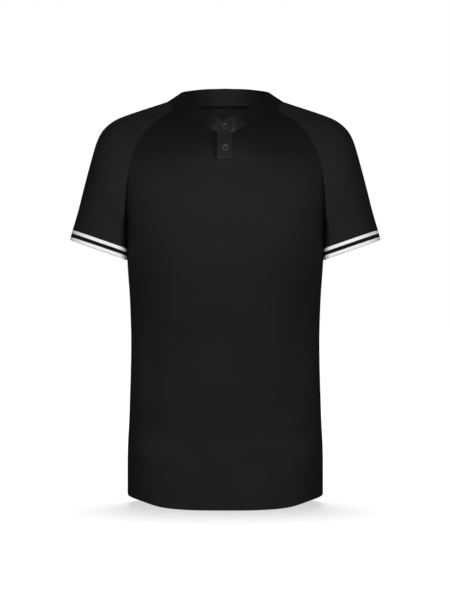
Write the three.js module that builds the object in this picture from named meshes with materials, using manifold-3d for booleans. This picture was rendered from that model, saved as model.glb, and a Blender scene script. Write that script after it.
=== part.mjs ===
import * as THREE from 'three';
import { mergeVertices } from 'three/addons/utils/BufferGeometryUtils.js';
import Module from 'manifold-3d';

// Henley jersey, size M, filled out as if it were worn. Millimetres, +Z up. The front faces -Y
// and the wearer's left is +X. The origin lies between the shoulders, level with the neck points.

// Cloth walls and the clearances between the pieces
const CLOTH = 1.6;
const BAND_CLOTH = 2.0;
const CUFF_CLOTH = 2.2;
const PLACKET_CLOTH = 1.8;
const TAPE_CLOTH = 1.0;
const SEAM_GAP = 0.3;
const PLACKET_GAP = 0.45;
const SLEEVE_SHIFT = 0.45;
const CUFF_CLEAR_OF_BODY = 2.5;

// The body, as level sections of the torso form from the shoulder ridge to the hem. half is the
// half width, front and back are the reach either side of the side seams, power is the squareness.
const TORSO = [
  { z: -5, half: 72, front: 8, back: 72, power: 2.0 },
  { z: -15, half: 103.5, front: 20, back: 82, power: 2.0 },
  { z: -20, half: 116, front: 27, back: 86, power: 2.0 },
  { z: -30, half: 146, front: 41, back: 92, power: 2.0 },
  { z: -40, half: 178, front: 56, back: 98, power: 2.0 },
  { z: -53, half: 204, front: 73, back: 104, power: 2.0 },
  { z: -75, half: 219, front: 90, back: 111, power: 2.05 },
  { z: -111, half: 218, front: 106, back: 119, power: 2.1 },
  { z: -142, half: 208, front: 113, back: 123, power: 2.2 },
  { z: -178, half: 194, front: 117, back: 125, power: 2.3 },
  { z: -212, half: 182, front: 119, back: 124, power: 2.4 },
  { z: -238, half: 177.5, front: 119, back: 122, power: 2.45 },
  { z: -301, half: 176, front: 116.5, back: 114, power: 2.45 },
  { z: -373, half: 171.3, front: 111.5, back: 105, power: 2.4 },
  { z: -453, half: 169.2, front: 107, back: 100, power: 2.4 },
  { z: -571, half: 172, front: 105, back: 103, power: 2.4 },
  { z: -643, half: 175.2, front: 106, back: 107, power: 2.4 },
  { z: -740, half: 175.3, front: 107.5, back: 109.5, power: 2.4 },
];
const UNDERARM_Z = -238;

// The hem is level across the middle and rises towards the side seams.
const HEM_Z = -737;
const HEM_RISE = 16.5;
const HEM_POWER = 3;

// How the rows of a panel sink from the level underarm to the curve of the neck
const NECK_DIP_POWER = 1.4;

// Raglan seams: half widths where they cross each level of the torso form
const FRONT_RAGLAN = [
  { z: -30, x: 92.5 },
  { z: -37, x: 97 },
  { z: -50, x: 118 },
  { z: -75, x: 143 },
  { z: -111, x: 162 },
  { z: -142, x: 170 },
  { z: -178, x: 173.5 },
  { z: -212, x: 176 },
  { z: UNDERARM_Z, x: 177.5 },
];
const BACK_RAGLAN = [
  { z: -18, x: 92 },
  { z: -30, x: 106 },
  { z: -50, x: 126 },
  { z: -75, x: 146 },
  { z: -111, x: 161 },
  { z: -142, x: 168 },
  { z: -178, x: 173 },
  { z: -212, x: 176 },
  { z: UNDERARM_Z, x: 177.5 },
];

// The neck, by turn in degrees from the front middle to the back middle: radius and height of
// the open edge of the band, and height of the seam that sews the band on
const NECK = [
  { turn: 0, edgeRadius: 88.5, edgeZ: -65, seamZ: -85 },
  { turn: 4.5, edgeRadius: 87.3, edgeZ: -59.3, seamZ: -83.3 },
  { turn: 8, edgeRadius: 86, edgeZ: -52.4, seamZ: -81 },
  { turn: 14, edgeRadius: 84, edgeZ: -46.5, seamZ: -76 },
  { turn: 22, edgeRadius: 82, edgeZ: -40.5, seamZ: -69 },
  { turn: 31, edgeRadius: 80, edgeZ: -34, seamZ: -61 },
  { turn: 41, edgeRadius: 79, edgeZ: -28, seamZ: -53 },
  { turn: 58, edgeRadius: 76, edgeZ: -13.5, seamZ: -40 },
  { turn: 71, edgeRadius: 75.5, edgeZ: -5, seamZ: -30 },
  { turn: 90, edgeRadius: 79.5, edgeZ: 1, seamZ: -15 },
  { turn: 116, edgeRadius: 76, edgeZ: 8.5, seamZ: -16.5 },
  { turn: 148, edgeRadius: 70, edgeZ: 15.2, seamZ: -15.5 },
  { turn: 180, edgeRadius: 66, edgeZ: 17.2, seamZ: -15 },
];
const FRONT_CORNER_TURN = 71;
const BACK_CORNER_TURN = 116;

// Sleeve sections from the shoulder to the end of the cuff: the outer and inner point of each in
// the front view, and its reach to the front and to the back
const SLEEVE = [
  { outerX: 178, outerZ: -40, innerX: 178, innerZ: -240, front: 71, back: 80 },
  { outerX: 202, outerZ: -51, innerX: 178, innerZ: -241.5, front: 71, back: 80 },
  { outerX: 220, outerZ: -67, innerX: 178, innerZ: -243.5, front: 70, back: 80 },
  { outerX: 230, outerZ: -85, innerX: 178, innerZ: -246, front: 69, back: 79 },
  { outerX: 236.5, outerZ: -105, innerX: 178, innerZ: -249, front: 68, back: 78 },
  { outerX: 246, outerZ: -139, innerX: 178, innerZ: -255, front: 65, back: 76 },
  { outerX: 255.5, outerZ: -175, innerX: 178, innerZ: -261, front: 62, back: 74 },
  { outerX: 264.6, outerZ: -211, innerX: 177.5, innerZ: -269, front: 59, back: 72 },
  { outerX: 275, outerZ: -246, innerX: 177, innerZ: -280, front: 56, back: 70 },
  { outerX: 280, outerZ: -264, innerX: 176.6, innerZ: -300, front: 55, back: 69 },
];
const SLEEVE_POWER = 2.15;

// Placket: a slit in the front, an outer strip over it and an inner strip behind it
const SLIT = { left: -13.4, right: 10.7, bottom: -122 };
const BAND_OPENING = { left: -1, right: 9 };
const PLACKET = { left: -14.4, right: 11.7, bottom: -128.6 };
const PLACKET_TOP = [
  { x: -14.4, z: -77 },
  { x: -13.4, z: -71.5 },
  { x: -10.5, z: -66.5 },
  { x: -6.8, z: -61 },
  { x: 1.2, z: -56.2 },
  { x: 11.7, z: -51.3 },
];
const PLACKET_UNDER = { left: -15.4, right: 9.5, bottom: -126, top: -66, behind: 2.5 };
// Depths behind and before the front, between which a cutter goes through it
const CUT_DEPTHS = { near: -20, far: -200 };

// Buttons
const BUTTON_RADIUS = 5.8;
const BUTTON_PLACES = [
  { name: 'button_top', x: -1.3, z: -71 },
  { name: 'button_bottom', x: 0.2, z: -109.3 },
];
const BUTTON_PROFILE = [
  { radius: 0, height: 0 },
  { radius: 4.8, height: 0 },
  { radius: 5.6, height: 0.6 },
  { radius: BUTTON_RADIUS, height: 1.4 },
  { radius: 5.5, height: 2.4 },
  { radius: 4.8, height: 2.9 },
  { radius: 4.1, height: 2.7 },
  { radius: 3.6, height: 1.9 },
  { radius: 0, height: 1.7 },
];
const BUTTON_HOLE = { radius: 0.85, fromMiddle: 1.6, sides: 8, count: 4 };
const BUTTON_SIDES = 28;
const BUTTON_STAND_OFF = 0.4;

// The tape over the back neck seam, mostly on the band
const TAPE = { aboveSeam: 3.9, belowSeam: 1.1 };

// How finely the walls are divided
const PANEL_COLUMNS = 24;
const BODY_ROWS = 13;
const RAGLAN_STEPS = 13;
const BLUNT_STEPS = 3;
const SLEEVE_ROWS = 12;
const BAND_ROWS = 3;
const CUFF_ROWS = 2;
const STRIP_ROWS = 12;
const STRIP_COLUMNS = 4;
const FINE_STEPS = 60;
const LENGTH_DIVISIONS = 400;
const MERGE_WITHIN = 1e-4;
const NORMAL_STEP = 0.5;

const wasm = await Module();
wasm.setup();

const group = new THREE.Group();
group.name = 'henley_jersey';

const BLACK_KNIT = { color: 0x1b1c1c, roughness: 0.78, metalness: 0 };
const BLACK_BUTTON = { color: 0x2a2a2a, roughness: 0.35, metalness: 0 };
const STRIPED_RIB = { color: 0xf2f2f2, roughness: 0.85, metalness: 0 };

/** One column of a table at a given key, on a smooth curve through the rows. */
function read(rows, key, name, at) {
  const keys = rows.map((row) => row[key]);
  const rising = keys[keys.length - 1] > keys[0] ? 1 : -1;
  const last = rows.length - 1;
  let i = 0;
  while (i < last - 1 && rising * (at - keys[i + 1]) > 0) i += 1;
  const span = keys[i + 1] - keys[i];
  const share = THREE.MathUtils.clamp((at - keys[i]) / span, 0, 1);
  const slope = (k) => {
    const a = Math.max(k - 1, 0);
    const b = Math.min(k + 1, last);
    return (rows[b][name] - rows[a][name]) / (keys[b] - keys[a]);
  };
  const s2 = share * share;
  const s3 = s2 * share;
  return (
    rows[i][name] * (2 * s3 - 3 * s2 + 1) +
    slope(i) * span * (s3 - 2 * s2 + share) +
    rows[i + 1][name] * (3 * s2 - 2 * s3) +
    slope(i + 1) * span * (s3 - s2)
  );
}

/** The level section of the torso form at a height. */
function section(z) {
  return {
    half: read(TORSO, 'z', 'half', z),
    front: read(TORSO, 'z', 'front', z),
    back: read(TORSO, 'z', 'back', z),
    power: read(TORSO, 'z', 'power', z),
  };
}

/** How far a point lies outside the torso form, as a plain number that is 0 on the cloth. */
function outside(point) {
  const { half, front, back, power } = section(point.z);
  const reach = point.y < 0 ? front : back;
  return Math.abs(point.x / half) ** power + Math.abs(point.y / reach) ** power - 1;
}

/** The outward direction of the torso form at a point on it. */
function torsoNormal(point) {
  const slope = (axis) => {
    const ahead = point.clone();
    const behind = point.clone();
    ahead[axis] += NORMAL_STEP;
    behind[axis] -= NORMAL_STEP;
    return outside(ahead) - outside(behind);
  };
  return new THREE.Vector3(slope('x'), slope('y'), slope('z')).normalize();
}

/** A point of the torso form at a half width and height, on the front (-1) or back (1). */
function torsoAt(x, z, face) {
  const { half, front, back, power } = section(z);
  const left = Math.max(0, 1 - Math.abs(x / half) ** power);
  const reach = face < 0 ? front : back;
  return new THREE.Vector3(x, face * reach * left ** (1 / power), z);
}

/** Half width of the torso form at a depth and height. */
function halfWidthAt(y, z) {
  const { half, front, back, power } = section(z);
  const reach = y < 0 ? front : back;
  return half * Math.max(0, 1 - Math.abs(y / reach) ** power) ** (1 / power);
}

/** A point on the seam of the neck band, by its turn in degrees. */
function neckSeam(turn) {
  const z = read(NECK, 'turn', 'seamZ', Math.abs(turn));
  const { half, front, back, power } = section(z);
  const angle = THREE.MathUtils.degToRad(turn);
  const reach = Math.cos(angle) > 0 ? front : back;
  const sum = Math.abs(Math.sin(angle) / half) ** power + Math.abs(Math.cos(angle) / reach) ** power;
  const radius = sum ** (-1 / power);
  return new THREE.Vector3(radius * Math.sin(angle), -radius * Math.cos(angle), z);
}

/** A point on the open edge of the neck band, by its turn in degrees. */
function neckEdge(turn) {
  const radius = read(NECK, 'turn', 'edgeRadius', Math.abs(turn));
  const angle = THREE.MathUtils.degToRad(turn);
  const z = read(NECK, 'turn', 'edgeZ', Math.abs(turn));
  return new THREE.Vector3(radius * Math.sin(angle), -radius * Math.cos(angle), z);
}

/** The turn in degrees at which a point stands round the neck. */
function turnOf(point) {
  return THREE.MathUtils.radToDeg(Math.atan2(point.x, -point.y));
}

/** A number of evenly spaced points on a smooth line through the given ones. */
function evenly(points, steps) {
  const curve = new THREE.CatmullRomCurve3(points, false, 'centripetal');
  curve.arcLengthDivisions = LENGTH_DIVISIONS;
  return curve.getSpacedPoints(steps);
}

/** Points of a line given by a function of a share from 0 to 1. */
function sampled(at, steps = FINE_STEPS) {
  return Array.from({ length: steps + 1 }, (_, i) => at(i / steps));
}

/** Half of the armhole seam on the wearer's left: from the shoulder ridge round the blunt end of
 * the sleeve, then down the raglan seam to the underarm. face is -1 for the front, 1 for the back. */
function armhole(face) {
  const cornerTurn = face < 0 ? FRONT_CORNER_TURN : BACK_CORNER_TURN;
  const rows = face < 0 ? FRONT_RAGLAN : BACK_RAGLAN;
  const ridgeTurn = 90;
  const blunt = sampled((s) => neckSeam(ridgeTurn + (cornerTurn - ridgeTurn) * s), BLUNT_STEPS);
  const corner = blunt[BLUNT_STEPS];
  const seam = sampled((s) => {
    const z = THREE.MathUtils.lerp(corner.z, UNDERARM_Z, s);
    return torsoAt(s === 0 ? corner.x : read(rows, 'z', 'x', z), z, face);
  });
  seam[0] = corner;
  seam[FINE_STEPS].set(section(UNDERARM_Z).half, 0, UNDERARM_Z);
  return [...blunt.slice(0, -1), ...evenly(seam, RAGLAN_STEPS)];
}

/** How far along a line each of its points lies, as a share of its length. */
function shares(line) {
  const lengths = [0];
  for (let i = 1; i < line.length; i += 1) {
    lengths.push(lengths[i - 1] + line[i].distanceTo(line[i - 1]));
  }
  return lengths.map((length) => length / lengths[lengths.length - 1]);
}

/** Points of half a sleeve section, at the given shares of its length from outside to inside. */
function sleeveArc(row, face, places) {
  const outer = new THREE.Vector3(row.outerX, 0, row.outerZ);
  const inner = new THREE.Vector3(row.innerX, 0, row.innerZ);
  const middle = outer.clone().add(inner).multiplyScalar(0.5);
  const arm = outer.clone().sub(middle);
  const centreY = (row.back - row.front) / 2;
  const reach = (row.back + row.front) / 2;
  const round = (value) => Math.sign(value) * Math.abs(value) ** (2 / SLEEVE_POWER);
  const line = sampled((s) => {
    const angle = Math.PI * s;
    const point = middle.clone().addScaledVector(arm, round(Math.cos(angle)));
    point.y = centreY + face * reach * round(Math.sin(angle));
    return point;
  });
  const curve = new THREE.CatmullRomCurve3(line);
  curve.arcLengthDivisions = LENGTH_DIVISIONS;
  return places.map((share) => clearOfBody(curve.getPointAt(share)));
}

/** Moves a point of the sleeve outwards until it is clear of the side of the body. */
function clearOfBody(point) {
  const below = Math.max(0, UNDERARM_Z - point.z);
  const cuffEnd = UNDERARM_Z - SLEEVE[SLEEVE.length - 1].innerZ;
  const clearance = SLEEVE_SHIFT + (CUFF_CLEAR_OF_BODY - SLEEVE_SHIFT) * Math.min(1, below / cuffEnd);
  const nearest = halfWidthAt(point.y, point.z) + clearance;
  if (point.z < UNDERARM_Z && point.x < nearest) point.x = nearest;
  return point;
}

/** The outward direction at each point of a grid, from its neighbours. wrap joins the columns. */
function gridNormals(grid, wrap) {
  const rows = grid.length;
  const columns = grid[0].length;
  return grid.map((row, k) =>
    row.map((_, j) => {
      const up = grid[Math.min(k + 1, rows - 1)][j];
      const down = grid[Math.max(k - 1, 0)][j];
      const right = row[wrap ? (j + 1) % columns : Math.min(j + 1, columns - 1)];
      const left = row[wrap ? (j + columns - 1) % columns : Math.max(j - 1, 0)];
      const along = up.clone().sub(down);
      const across = right.clone().sub(left);
      return across.cross(along).normalize();
    }),
  );
}

/** Each point of a grid moved along its normal. */
function moved(grid, normals, distance) {
  return grid.map((row, k) => row.map((point, j) => point.clone().addScaledVector(normals[k][j], distance)));
}

/** Volume inside a list of triangles, negative where they face inwards. */
function signedVolume(positions) {
  const corners = [0, 3, 6].map(() => new THREE.Vector3());
  let volume = 0;
  for (let i = 0; i < positions.length; i += 9) {
    corners.forEach((corner, n) => corner.fromArray(positions, i + 3 * n));
    volume += corners[0].dot(corners[1].cross(corners[2])) / 6;
  }
  return volume;
}

/** A closed geometry from loose triangles, turned so that its faces point out. */
function solid(triangles) {
  const positions = triangles.flatMap((corners) => corners.flatMap((corner) => corner.toArray()));
  if (signedVolume(positions) < 0) {
    triangles.forEach((corners) => corners.reverse());
    return solid(triangles);
  }
  const geometry = new THREE.BufferGeometry();
  geometry.setAttribute('position', new THREE.Float32BufferAttribute(positions, 3));
  return geometry;
}

/** A cloth wall between an outer and an inner grid of points. wrap joins its two side edges. */
function wall(outer, inner, wrap) {
  const triangles = [];
  const quad = (a, b, c, d) => triangles.push([a, b, c], [a, c, d]);
  const rows = outer.length - 1;
  const points = outer[0].length;
  const columns = wrap ? points : points - 1;
  for (let j = 0; j < columns; j += 1) {
    const next = (j + 1) % points;
    for (let k = 0; k < rows; k += 1) {
      quad(outer[k][j], outer[k][next], outer[k + 1][next], outer[k + 1][j]);
      quad(inner[k][j], inner[k + 1][j], inner[k + 1][next], inner[k][next]);
    }
    quad(outer[0][j], inner[0][j], inner[0][next], outer[0][next]);
    quad(outer[rows][j], outer[rows][next], inner[rows][next], inner[rows][j]);
  }
  if (!wrap) {
    for (let k = 0; k < rows; k += 1) {
      quad(outer[k][0], outer[k + 1][0], inner[k + 1][0], inner[k][0]);
      quad(outer[k][columns], inner[k][columns], inner[k + 1][columns], outer[k + 1][columns]);
    }
  }
  return solid(triangles);
}

/** A geometry with its shared corners merged, as a solid for cutting. */
function toManifold(geometry) {
  const bare = geometry.clone();
  bare.deleteAttribute('normal');
  bare.deleteAttribute('uv');
  const merged = mergeVertices(bare, MERGE_WITHIN);
  const vertProperties = new Float32Array(merged.attributes.position.array);
  const triVerts = new Uint32Array(merged.index.array);
  return new wasm.Manifold(new wasm.Mesh({ numProp: 3, vertProperties, triVerts }));
}

/** A geometry with the cutters taken out of it. */
function cut(geometry, cutters) {
  let body = toManifold(geometry);
  for (const cutter of cutters) body = body.subtract(toManifold(cutter));
  const mesh = body.getMesh();
  const result = new THREE.BufferGeometry();
  result.setAttribute('position', new THREE.Float32BufferAttribute(mesh.vertProperties, 3));
  result.setIndex(new THREE.Uint32BufferAttribute(mesh.triVerts, 1));
  return result;
}

/** A box that cuts a slot through the front, from a bottom level up past the neck. */
function frontCutter(left, right, bottom) {
  const depth = CUT_DEPTHS.near - CUT_DEPTHS.far;
  const box = new THREE.BoxGeometry(right - left, depth, -bottom);
  return box.translate((left + right) / 2, (CUT_DEPTHS.near + CUT_DEPTHS.far) / 2, bottom / 2);
}

/** Adds a named mesh with its own material. */
function add(name, geometry, finish) {
  const mesh = new THREE.Mesh(geometry, new THREE.MeshStandardMaterial(finish));
  mesh.name = name;
  group.add(mesh);
  return mesh;
}

/** A point or direction with its X turned over, for the wearer's right side. */
function mirrored(vector) {
  return new THREE.Vector3(-vector.x, vector.y, vector.z);
}

// Armhole seam of the wearer's left sleeve: down the front and up the back, as one closed loop
const frontHole = armhole(-1);
const backHole = armhole(1);
const holeSteps = BLUNT_STEPS + RAGLAN_STEPS;
const frontShares = shares(frontHole);
const backShares = shares(backHole);
const holeLoop = [...frontHole, ...backHole.slice(1, -1).reverse()];

/** The points of one sleeve section that stand across from the points of the armhole seam. */
function sleeveRing(row) {
  const front = sleeveArc(row, -1, frontShares);
  const back = sleeveArc(row, 1, backShares);
  return [...front, ...back.slice(1, -1).reverse()];
}

// The left sleeve: a line from each point of the armhole seam through all the sleeve sections
const sleeveRings = SLEEVE.slice(0, -1).map(sleeveRing);
const sleeveLines = holeLoop.map((start, i) => {
  const first = start.clone();
  first.x += SLEEVE_SHIFT;
  return evenly([first, ...sleeveRings.map((ring) => ring[i])], SLEEVE_ROWS);
});
const sleeveGrid = Array.from({ length: SLEEVE_ROWS + 1 }, (_, k) => sleeveLines.map((line) => line[k]));
const sleeveNormals = gridNormals(sleeveGrid, true);
const holeNormals = holeLoop.map((point, i) =>
  torsoNormal(point).add(sleeveNormals[0][i]).normalize(),
);
sleeveNormals[0] = holeNormals;

// The left cuff: from the end of the sleeve to the last section
const cuffEnd = sleeveRing(SLEEVE[SLEEVE.length - 1]);
const cuffStart = sleeveGrid[SLEEVE_ROWS];
const cuffGrid = Array.from({ length: CUFF_ROWS + 1 }, (_, k) =>
  cuffStart.map((start, i) => {
    const gapShare = SEAM_GAP / start.distanceTo(cuffEnd[i]);
    return start.clone().lerp(cuffEnd[i], gapShare + (1 - gapShare) * (k / CUFF_ROWS));
  }),
);
const cuffNormals = gridNormals(cuffGrid, true);
cuffNormals[0] = sleeveNormals[SLEEVE_ROWS];

for (const [side, place] of [['left', (v) => v.clone()], ['right', mirrored]]) {
  const placed = (grid) => grid.map((row) => row.map(place));
  const sleeveInside = moved(sleeveGrid, sleeveNormals, -CLOTH);
  const cuffInside = moved(cuffGrid, cuffNormals, -CUFF_CLOTH);
  add(`sleeve_${side}`, wall(placed(sleeveGrid), placed(sleeveInside), true), BLACK_KNIT);
  add(`cuff_${side}`, wall(placed(cuffGrid), placed(cuffInside), true), STRIPED_RIB);
}

/** Body panel: its rows of points from the hem to the neck band, with their normals. */
function panel(face) {
  const hole = face < 0 ? frontHole : backHole;
  const holeNormal = (i) => (face < 0 ? holeNormals[i] : holeNormals[(2 * holeSteps - i) % (2 * holeSteps)]);
  const grid = [];
  const normals = [];
  const addRow = (at, edgeNormal) => {
    const line = evenly(sampled(at), PANEL_COLUMNS);
    const directions = line.map(torsoNormal);
    if (edgeNormal) {
      directions[0] = mirrored(edgeNormal);
      directions[PANEL_COLUMNS] = edgeNormal;
    }
    grid.push(line);
    normals.push(directions);
  };

  // from the hem to the underarm, across from side seam to side seam
  for (let k = 0; k <= BODY_ROWS; k += 1) {
    const rise = k / BODY_ROWS;
    addRow((s) => {
      const angle = Math.PI * (s - 0.5);
      const share = Math.abs(Math.sin(angle));
      const hem = HEM_Z + HEM_RISE * share ** HEM_POWER;
      const z = THREE.MathUtils.lerp(hem, UNDERARM_Z, rise);
      const { half, front, back, power } = section(z);
      const x = half * Math.sign(angle) * share ** (2 / power);
      const reach = face < 0 ? front : back;
      const y = face * Math.max(SEAM_GAP / 2, reach * Math.cos(angle) ** (2 / power));
      return new THREE.Vector3(x, y, z);
    }, k === BODY_ROWS ? holeNormal(holeSteps) : null);
  }

  // from the underarm to the neck, across from raglan seam to raglan seam
  const corner = hole[BLUNT_STEPS];
  const middleTurn = face < 0 ? 0 : 180;
  const cornerTurn = face < 0 ? FRONT_CORNER_TURN : BACK_CORNER_TURN;
  for (let k = 1; k <= RAGLAN_STEPS; k += 1) {
    const edge = hole[holeSteps - k];
    const dip = (k / RAGLAN_STEPS) ** NECK_DIP_POWER;
    addRow((s) => {
      const across = 2 * s - 1;
      const turn = THREE.MathUtils.lerp(middleTurn, cornerTurn, Math.abs(across));
      const seam = neckSeam(turn * Math.sign(across || 1));
      if (k === RAGLAN_STEPS) return seam;
      if (Math.abs(across) === 1) return new THREE.Vector3(across * edge.x, edge.y, edge.z);
      const share = Math.abs(seam.x) / corner.x;
      const z = edge.z + dip * (seam.z - corner.z);
      return torsoAt(Math.sign(across) * share * edge.x, z, face);
    }, holeNormal(holeSteps - k));
  }
  return { grid, normals };
}

const frontPanel = panel(-1);
const backPanel = panel(1);
const frontWall = wall(frontPanel.grid, moved(frontPanel.grid, frontPanel.normals, -CLOTH), false);
add('front_panel', cut(frontWall, [frontCutter(SLIT.left, SLIT.right, SLIT.bottom)]), BLACK_KNIT);
add('back_panel', wall(backPanel.grid, moved(backPanel.grid, backPanel.normals, -CLOTH), false), BLACK_KNIT);

// Neck band: once round the seam, counter-clockwise from the right front corner, then up to the
// open edge. Its two ends stop under the placket.
const topRow = (part) => part.grid[part.grid.length - 1];
const topNormals = (part) => part.normals[part.normals.length - 1];
const bluntIndices = Array.from({ length: BLUNT_STEPS - 1 }, (_, i) => i + 1);
const leftBlunt = [
  ...[...bluntIndices].reverse().map((i) => [frontHole[i], holeNormals[i]]),
  [frontHole[0], holeNormals[0]],
  ...bluntIndices.map((i) => [backHole[i], holeNormals[2 * holeSteps - i]]),
];
const rightBlunt = [...leftBlunt].reverse().map(([point, normal]) => [mirrored(point), mirrored(normal)]);
const neckLoop = [
  ...topRow(frontPanel).map((point, j) => [point, topNormals(frontPanel)[j]]),
  ...leftBlunt,
  ...topRow(backPanel).map((point, j) => [point, topNormals(backPanel)[j]]).reverse(),
  ...rightBlunt,
];
const bandGrid = Array.from({ length: BAND_ROWS + 1 }, (_, k) =>
  neckLoop.map(([seam]) => {
    const edge = neckEdge(turnOf(seam));
    const gapShare = SEAM_GAP / seam.distanceTo(edge);
    return seam.clone().lerp(edge, gapShare + (1 - gapShare) * (k / BAND_ROWS));
  }),
);
const bandNormals = gridNormals(bandGrid, true);
bandNormals[0] = neckLoop.map(([, normal]) => normal);
const bandWall = wall(bandGrid, moved(bandGrid, bandNormals, -BAND_CLOTH), true);
const bandOpening = frontCutter(BAND_OPENING.left, BAND_OPENING.right, SLIT.bottom);
add('neck_band', cut(bandWall, [bandOpening]), BLACK_KNIT);

/** A point of the front at a width and height: on the body below the band's seam, on the band above. */
function frontCloth(x, z) {
  const turn = turnOf(new THREE.Vector3(x, -NECK[0].edgeRadius, 0));
  const seam = neckSeam(turn);
  const edge = neckEdge(turn);
  if (z < seam.z) return torsoAt(x, z, -1);
  const share = (z - seam.z) / (edge.z - seam.z);
  return new THREE.Vector3(x, THREE.MathUtils.lerp(seam.y, edge.y, share), z);
}

/** A strip of cloth on the front, from a level bottom to a top line, between two distances out. */
function frontStrip(left, right, bottom, topAt, innerOut, outerOut) {
  const grid = Array.from({ length: STRIP_ROWS + 1 }, (_, k) =>
    sampled((s) => {
      const x = THREE.MathUtils.lerp(left, right, s);
      return frontCloth(x, THREE.MathUtils.lerp(bottom, topAt(x), k / STRIP_ROWS));
    }, STRIP_COLUMNS),
  );
  const normals = gridNormals(grid, false);
  return wall(moved(grid, normals, outerOut), moved(grid, normals, innerOut), false);
}

// Placket: the outer strip lies over the slit and the ends of the band, the inner one behind them
const placketFace = PLACKET_GAP + PLACKET_CLOTH;
const placketTop = (x) => read(PLACKET_TOP, 'x', 'z', x);
const outerStrip = frontStrip(
  PLACKET.left, PLACKET.right, PLACKET.bottom, placketTop, PLACKET_GAP, placketFace,
);
const innerStrip = frontStrip(
  PLACKET_UNDER.left, PLACKET_UNDER.right, PLACKET_UNDER.bottom, () => PLACKET_UNDER.top,
  -PLACKET_UNDER.behind - CLOTH, -PLACKET_UNDER.behind,
);
add('placket', outerStrip, BLACK_KNIT);
add('placket_under', innerStrip, BLACK_KNIT);

// Buttons: turned discs with a raised rim and four holes, flat against the placket
const buttonDisc = new THREE.LatheGeometry(
  BUTTON_PROFILE.map(({ radius, height }) => new THREE.Vector2(radius, height)),
  BUTTON_SIDES,
);
const buttonHoles = Array.from({ length: BUTTON_HOLE.count }, (_, i) => {
  const angle = (2 * Math.PI * (i + 0.5)) / BUTTON_HOLE.count;
  const height = 2 * BUTTON_RADIUS;
  const hole = new THREE.CylinderGeometry(BUTTON_HOLE.radius, BUTTON_HOLE.radius, height, BUTTON_HOLE.sides);
  return hole.translate(
    BUTTON_HOLE.fromMiddle * Math.cos(angle), 0, BUTTON_HOLE.fromMiddle * Math.sin(angle),
  );
});
const buttonBody = cut(buttonDisc, buttonHoles);
for (const { name, x, z } of BUTTON_PLACES) {
  const across = frontCloth(x + BUTTON_RADIUS, z).sub(frontCloth(x - BUTTON_RADIUS, z));
  const up = frontCloth(x, z + BUTTON_RADIUS).sub(frontCloth(x, z - BUTTON_RADIUS));
  const outward = across.cross(up).normalize();
  const button = add(name, buttonBody.clone(), BLACK_BUTTON);
  button.position.copy(frontCloth(x, z)).addScaledVector(outward, placketFace + BUTTON_STAND_OFF);
  button.quaternion.setFromUnitVectors(new THREE.Vector3(0, 1, 0), outward);
}

// Tape inside the back neck, over the seam of the band
const backSeam = topRow(backPanel);
const belowSeam = backPanel.grid[backPanel.grid.length - 2];
const tapeGrid = [-TAPE.belowSeam, 0, TAPE.aboveSeam].map((up) =>
  backSeam.map((point, j) => {
    const towards = up < 0 ? belowSeam[j] : neckEdge(turnOf(point));
    const along = towards.clone().sub(point).normalize();
    return point.clone().addScaledVector(along, Math.abs(up));
  }),
);
const tapeNormals = tapeGrid.map(() => topNormals(backPanel));
const tapeFace = BAND_CLOTH + SEAM_GAP;
add(
  'neck_tape',
  wall(moved(tapeGrid, tapeNormals, -tapeFace), moved(tapeGrid, tapeNormals, -tapeFace - TAPE_CLOTH), false),
  BLACK_KNIT,
);

export default group;
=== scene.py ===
import math

import bpy
import numpy as np
from mathutils import Matrix, Vector


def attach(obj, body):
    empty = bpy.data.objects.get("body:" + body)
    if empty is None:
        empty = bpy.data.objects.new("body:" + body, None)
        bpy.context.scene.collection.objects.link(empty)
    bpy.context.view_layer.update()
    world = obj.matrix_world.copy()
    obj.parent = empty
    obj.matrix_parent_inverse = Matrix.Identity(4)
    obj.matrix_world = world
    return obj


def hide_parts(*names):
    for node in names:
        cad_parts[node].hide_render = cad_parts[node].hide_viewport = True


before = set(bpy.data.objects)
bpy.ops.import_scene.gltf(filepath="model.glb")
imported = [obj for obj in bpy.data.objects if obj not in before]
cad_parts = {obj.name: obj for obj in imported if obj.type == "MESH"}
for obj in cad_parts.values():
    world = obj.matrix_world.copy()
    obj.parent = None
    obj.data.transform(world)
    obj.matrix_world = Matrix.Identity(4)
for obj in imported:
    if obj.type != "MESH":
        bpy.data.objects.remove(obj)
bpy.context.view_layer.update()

# Camera: level with the middle of the jersey and three metres in front of it, with a long lens, so
# that the sides of the body run nearly straight up the picture.
camera_data = bpy.data.cameras.new("camera")
camera_data.sensor_width = 36.0
camera_data.lens = 100.0
camera = bpy.data.objects.new("camera", camera_data)
camera.location = (-0.0005, -3.0, -0.372)
camera.rotation_euler = (math.radians(90), 0, 0)
bpy.context.scene.collection.objects.link(camera)
bpy.context.scene.camera = camera

# Front panel: the front of the body in black interlock knit, cut to the raglan seams at the
# shoulders and to the curve of the neck, hemmed at the bottom and slit in the middle for the
# placket. It is sewn to the back at the sides, to the sleeves, and to the neck band.
CLOTH = 1.6
SEAM_OVERLAP = 0.12  # sewn edges press together, so that no light comes through
UNDERARM_Z = -238.0
HEM_Z, HEM_RISE, HEM_POWER = -737.0, 16.5, 3
CORNER_RISE, CORNER_AT, CORNER_WIDTH, CORNER_FADE = 3.6, 0.82, 0.18, 10  # where the hem turns up most
NECK_DIP_POWER = 1.4
SLIT_LEFT, SLIT_RIGHT, SLIT_BOTTOM = -13.4, 10.7, -122.0
SEAM_PULL_ON_BODY, SEAM_PULL_ON_SLEEVE = 62, 30  # how far from a raglan seam its pull reaches
NECK_FORWARD, NECK_FORWARD_WIDTH = 7.0, 50
FORWARD_FROM_Z, FORWARD_OVER = -150, 60
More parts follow.
